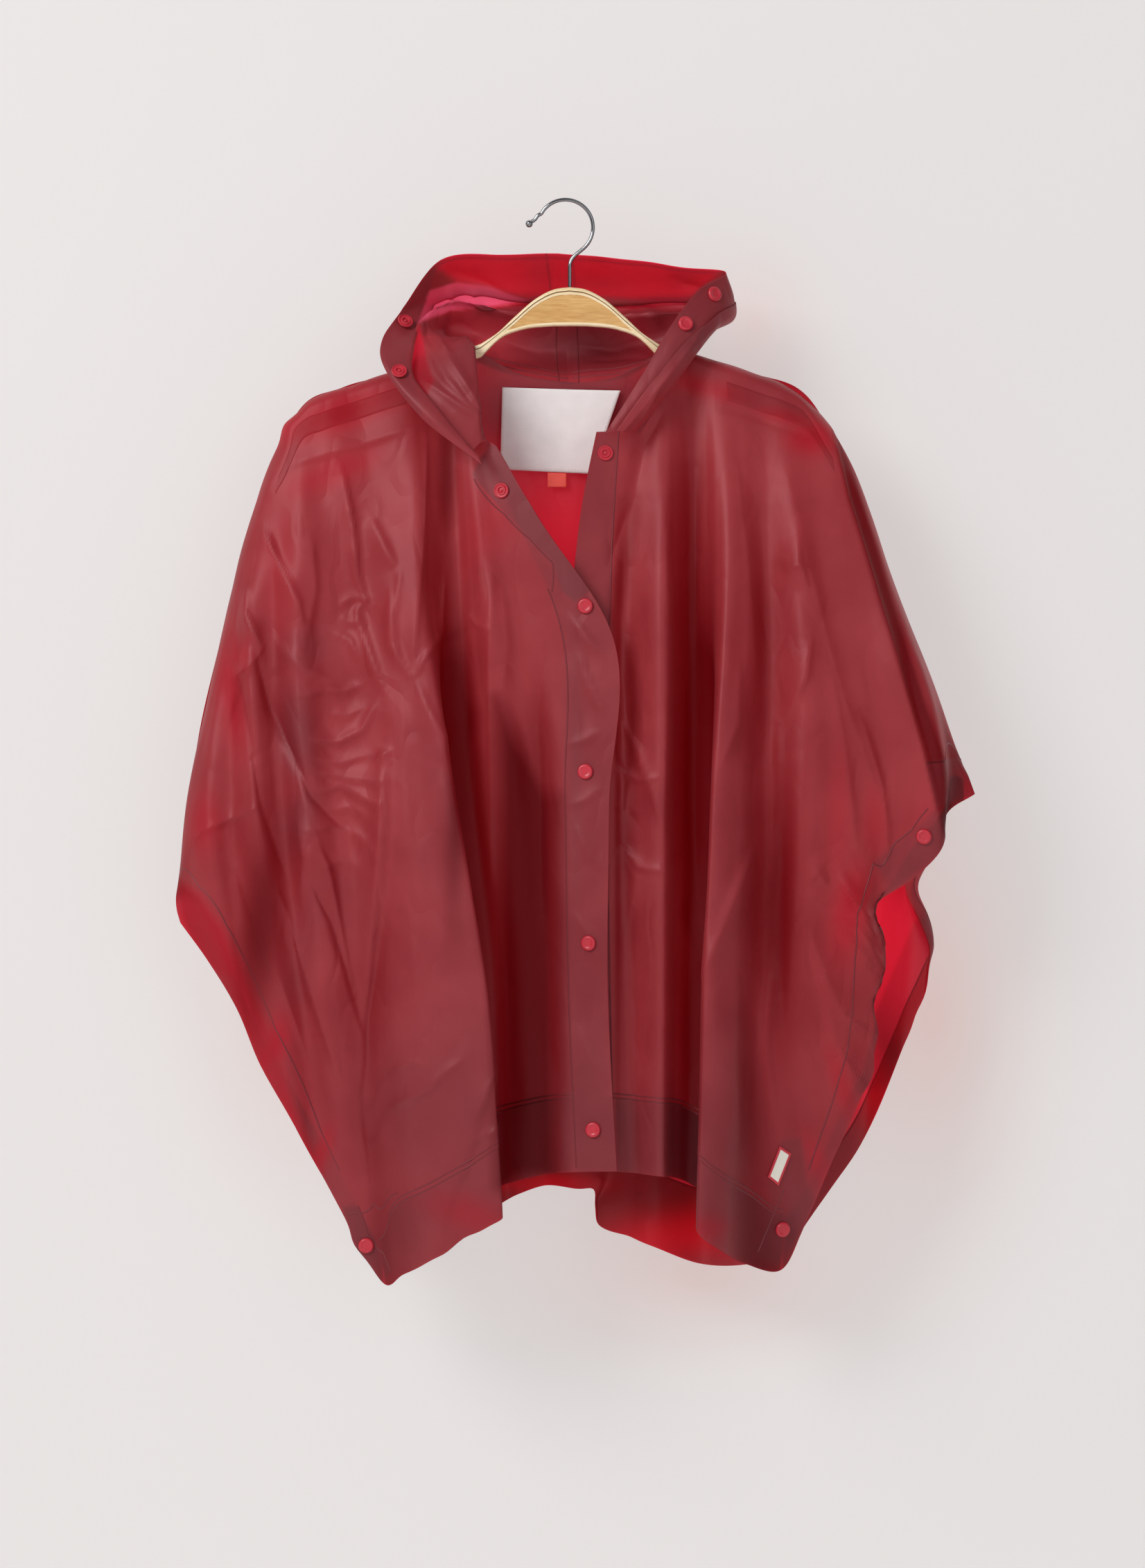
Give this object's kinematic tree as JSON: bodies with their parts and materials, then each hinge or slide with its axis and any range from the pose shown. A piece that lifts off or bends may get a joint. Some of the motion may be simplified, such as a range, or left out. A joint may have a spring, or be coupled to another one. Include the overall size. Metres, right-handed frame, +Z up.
{
  "type": "hooded rain poncho on a coat hanger",
  "caption": "Hooded, see-through vinyl rain poncho with a snapped front and open cuffs, hanging on a wooden coat hanger with a chrome hook.",
  "frame": {"origin": "inside of the hook's bend, plumb above the shank, where a clothes rail carries it", "axes": "+X to the right of someone facing the poncho's front, -Y towards them, +Z up"},
  "size_m": [0.72, 0.1668, 0.9778],
  "materials": {
    "vinyl": "frosted, see-through burgundy vinyl film",
    "doubled_vinyl": "the same film, doubled at welded edges",
    "snap": "satin red plastic",
    "satin": "white woven satin",
    "red_satin": "red woven satin",
    "wood": "clear varnished beech",
    "chrome": "polished"
  },
  "bodies": {
    "root": {"front_panel_right": "vinyl", "front_panel_left": "vinyl", "back_panel": "vinyl", "hood_half_right": "vinyl", "hood_half_left": "vinyl", "placket_right": "doubled_vinyl", "placket_left": "doubled_vinyl", "hem_band_front_right": "doubled_vinyl", "hem_band_front_left": "doubled_vinyl", "hem_band_back": "doubled_vinyl", "cuff_band_front_right": "doubled_vinyl", "cuff_band_front_left": "doubled_vinyl", "cuff_band_back_right": "doubled_vinyl", "cuff_band_back_left": "doubled_vinyl", "shoulder_tape_right": "doubled_vinyl", "shoulder_tape_left": "doubled_vinyl", "face_band_right": "doubled_vinyl", "face_band_left": "doubled_vinyl", "snap_front_1": "snap", "snap_front_2": "snap", "snap_front_3": "snap", "snap_front_4": "snap", "snap_neck_socket": "snap", "snap_neck_stud": "snap", "snap_corner_right": "snap", "snap_corner_left": "snap", "snap_elbow_right": "snap", "snap_elbow_left": "snap", "snap_hood_right_1": "snap", "snap_hood_right_2": "snap", "snap_hood_left_1": "snap", "snap_hood_left_2": "snap", "neck_label": "satin", "size_tab": "red_satin", "side_label": "red_satin", "hanger_wood": "wood", "hanger_hook": "chrome", "hook_ball": "chrome"}
  },
  "joints": []
}
